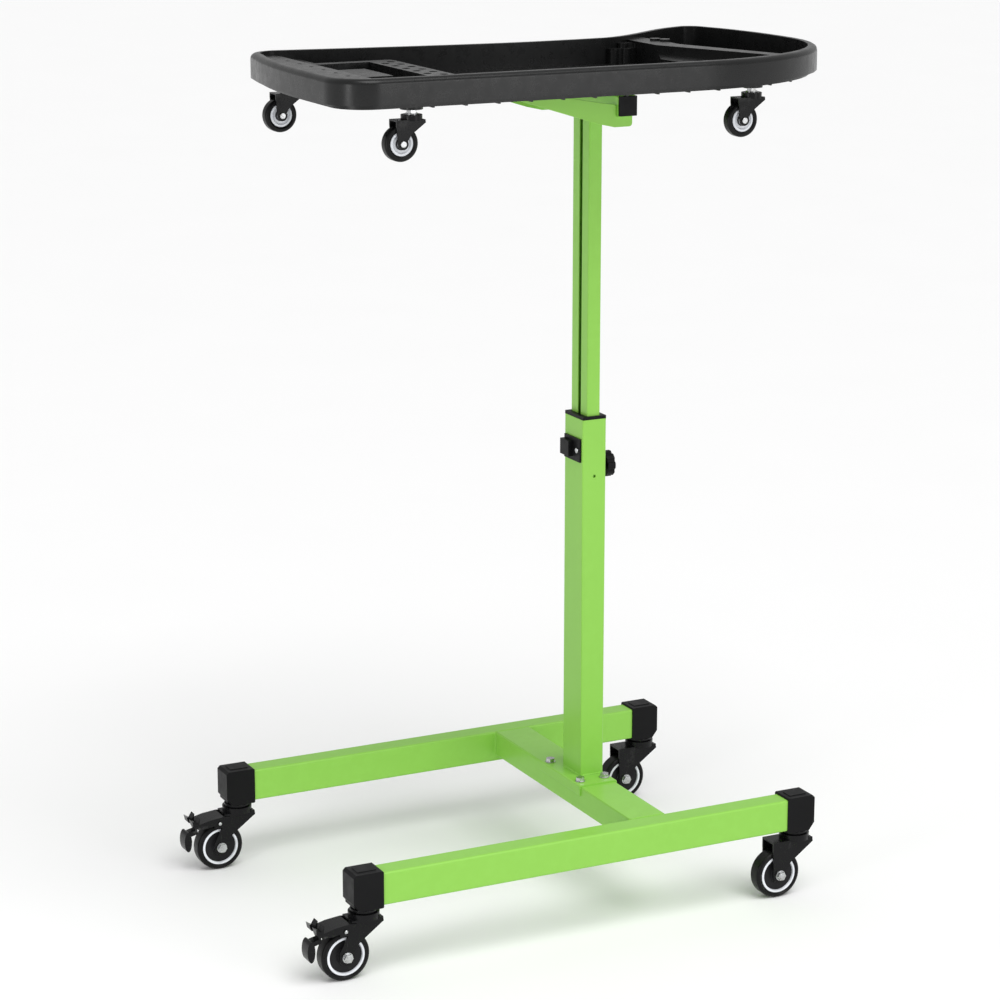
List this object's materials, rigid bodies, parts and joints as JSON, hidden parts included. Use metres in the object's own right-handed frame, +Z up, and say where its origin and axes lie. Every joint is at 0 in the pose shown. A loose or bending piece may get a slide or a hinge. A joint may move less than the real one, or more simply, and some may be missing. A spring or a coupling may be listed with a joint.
{
  "type": "instrument cart",
  "caption": "Rolling instrument cart: a moulded tray with its own casters on a height-adjustable post over an H-shaped base.",
  "frame": {"origin": "on the floor, under the centre of the cart's bounding box", "axes": "+X along the legs, away from the end with the brakes; +Y across the legs; +Z up"},
  "size_m": [0.9356, 0.535, 1.2782],
  "materials": {
    "green_base": "gloss powder coat",
    "green_head": "gloss powder coat",
    "black_plastic": "satin moulded",
    "tray_plastic": "textured moulded",
    "tyre": "smooth rubber",
    "white_hub": "satin moulded",
    "base_hub": "white ring on a black centre",
    "black_metal": "satin black",
    "zinc_steel": "bright zinc plated"
  },
  "bodies": {
    "base": {"leg_front": "green_base", "leg_rear": "green_base", "cross_tube": "green_base", "leg_end_caps": "black_plastic", "foot_plate": "green_base", "foot_bolts": "zinc_steel", "outer_mast": "green_base", "mast_collar": "black_plastic", "guide_plate": "black_plastic", "mast_screws": "zinc_steel", "clamp_nut": "zinc_steel", "caster_stems": "black_metal"},
    "mast_head": {"inner_mast": "green_head", "cross_arm": "green_head", "arm_plugs": "black_plastic", "bracket_front": "green_head", "bracket_rear": "green_head", "rail_front": "green_head", "rail_rear": "green_head", "bracket_bolts": "zinc_steel"},
    "clamp_knob": {"knob": "black_plastic", "knob_stud": "zinc_steel"},
    "tray": {"tray": "tray_plastic", "tray_stems": "zinc_steel"},
    "fork_fl": {"fork_fl": "black_metal", "axle_fl": "zinc_steel"},
    "wheel_fl": {"hub_fl": "base_hub", "tyre_fl": "tyre"},
    "fork_rl": {"fork_rl": "black_metal", "axle_rl": "zinc_steel"},
    "wheel_rl": {"hub_rl": "base_hub", "tyre_rl": "tyre"},
    "fork_fr": {"fork_fr": "black_metal", "axle_fr": "zinc_steel"},
    "wheel_fr": {"hub_fr": "base_hub", "tyre_fr": "tyre"},
    "fork_rr": {"fork_rr": "black_metal", "axle_rr": "zinc_steel"},
    "wheel_rr": {"hub_rr": "base_hub", "tyre_rr": "tyre"},
    "pedal_fl": {"brake_pedal_fl": "black_metal", "brake_shoe_fl": "black_metal"},
    "pedal_rl": {"brake_pedal_rl": "black_metal", "brake_shoe_rl": "black_metal"},
    "tray_fork_fl": {"tray_fork_fl": "black_metal", "tray_axle_fl": "zinc_steel"},
    "tray_wheel_fl": {"tray_hub_fl": "white_hub", "tray_tyre_fl": "tyre"},
    "tray_fork_rl": {"tray_fork_rl": "black_metal", "tray_axle_rl": "zinc_steel"},
    "tray_wheel_rl": {"tray_hub_rl": "white_hub", "tray_tyre_rl": "tyre"},
    "tray_fork_fr": {"tray_fork_fr": "black_metal", "tray_axle_fr": "zinc_steel"},
    "tray_wheel_fr": {"tray_hub_fr": "white_hub", "tray_tyre_fr": "tyre"},
    "tray_fork_rr": {"tray_fork_rr": "black_metal", "tray_axle_rr": "zinc_steel"},
    "tray_wheel_rr": {"tray_hub_rr": "white_hub", "tray_tyre_rr": "tyre"}
  },
  "joints": [
    {"name": "mast_slide", "type": "slide", "parent": "base", "child": "mast_head", "axis": [0, 0, 1], "range_m": [-0.38, 0]},
    {"name": "knob_turn", "type": "hinge", "parent": "base", "child": "clamp_knob", "pos_m": [0.13775, 0, 0.646], "axis": [1, 0, 0], "range_deg": [0, 720]},
    {"name": "tray_lift", "type": "slide", "parent": "mast_head", "child": "tray", "axis": [0, 0, 1], "range_m": [0, 0.2]},
    {"name": "swivel_fl", "type": "hinge", "parent": "base", "child": "fork_fl", "pos_m": [-0.37575, -0.2445, 0.095], "axis": [0, 0, 1], "continuous": true},
    {"name": "roll_fl", "type": "hinge", "parent": "fork_fl", "child": "wheel_fl", "pos_m": [-0.40875, -0.2445, 0.0375], "axis": [0, 1, 0], "continuous": true},
    {"name": "swivel_rl", "type": "hinge", "parent": "base", "child": "fork_rl", "pos_m": [-0.37575, 0.2445, 0.095], "axis": [0, 0, 1], "continuous": true},
    {"name": "roll_rl", "type": "hinge", "parent": "fork_rl", "child": "wheel_rl", "pos_m": [-0.40875, 0.2445, 0.0375], "axis": [0, 1, 0], "continuous": true},
    {"name": "swivel_fr", "type": "hinge", "parent": "base", "child": "fork_fr", "pos_m": [0.34425, -0.2445, 0.095], "axis": [0, 0, 1], "continuous": true},
    {"name": "roll_fr", "type": "hinge", "parent": "fork_fr", "child": "wheel_fr", "pos_m": [0.31125, -0.2445, 0.0375], "axis": [0, 1, 0], "continuous": true},
    {"name": "swivel_rr", "type": "hinge", "parent": "base", "child": "fork_rr", "pos_m": [0.34425, 0.2445, 0.095], "axis": [0, 0, 1], "continuous": true},
    {"name": "roll_rr", "type": "hinge", "parent": "fork_rr", "child": "wheel_rr", "pos_m": [0.31125, 0.2445, 0.0375], "axis": [0, 1, 0], "continuous": true},
    {"name": "brake_fl", "type": "hinge", "parent": "fork_fl", "child": "pedal_fl", "pos_m": [-0.41175, -0.2445, 0.0784], "axis": [0, -1, 0], "range_deg": [0, 7]},
    {"name": "brake_rl", "type": "hinge", "parent": "fork_rl", "child": "pedal_rl", "pos_m": [-0.41175, 0.2445, 0.0784], "axis": [0, -1, 0], "range_deg": [0, 7]},
    {"name": "tray_swivel_fl", "type": "hinge", "parent": "tray", "child": "tray_fork_fl", "pos_m": [-0.27425, -0.205, 1.22], "axis": [0, 0, 1], "continuous": true},
    {"name": "tray_roll_fl", "type": "hinge", "parent": "tray_fork_fl", "child": "tray_wheel_fl", "pos_m": [-0.29225, -0.205, 1.1853], "axis": [0, 1, 0], "continuous": true},
    {"name": "tray_swivel_rl", "type": "hinge", "parent": "tray", "child": "tray_fork_rl", "pos_m": [-0.30125, 0.158, 1.22], "axis": [0, 0, 1], "continuous": true},
    {"name": "tray_roll_rl", "type": "hinge", "parent": "tray_fork_rl", "child": "tray_wheel_rl", "pos_m": [-0.31925, 0.158, 1.1853], "axis": [0, 1, 0], "continuous": true},
    {"name": "tray_swivel_fr", "type": "hinge", "parent": "tray", "child": "tray_fork_fr", "pos_m": [0.27675, -0.185, 1.22], "axis": [0, 0, 1], "continuous": true},
    {"name": "tray_roll_fr", "type": "hinge", "parent": "tray_fork_fr", "child": "tray_wheel_fr", "pos_m": [0.25875, -0.185, 1.1853], "axis": [0, 1, 0], "continuous": true},
    {"name": "tray_swivel_rr", "type": "hinge", "parent": "tray", "child": "tray_fork_rr", "pos_m": [0.23775, 0.127, 1.22], "axis": [0, 0, 1], "continuous": true},
    {"name": "tray_roll_rr", "type": "hinge", "parent": "tray_fork_rr", "child": "tray_wheel_rr", "pos_m": [0.21975, 0.127, 1.1853], "axis": [0, 1, 0], "continuous": true}
  ]
}
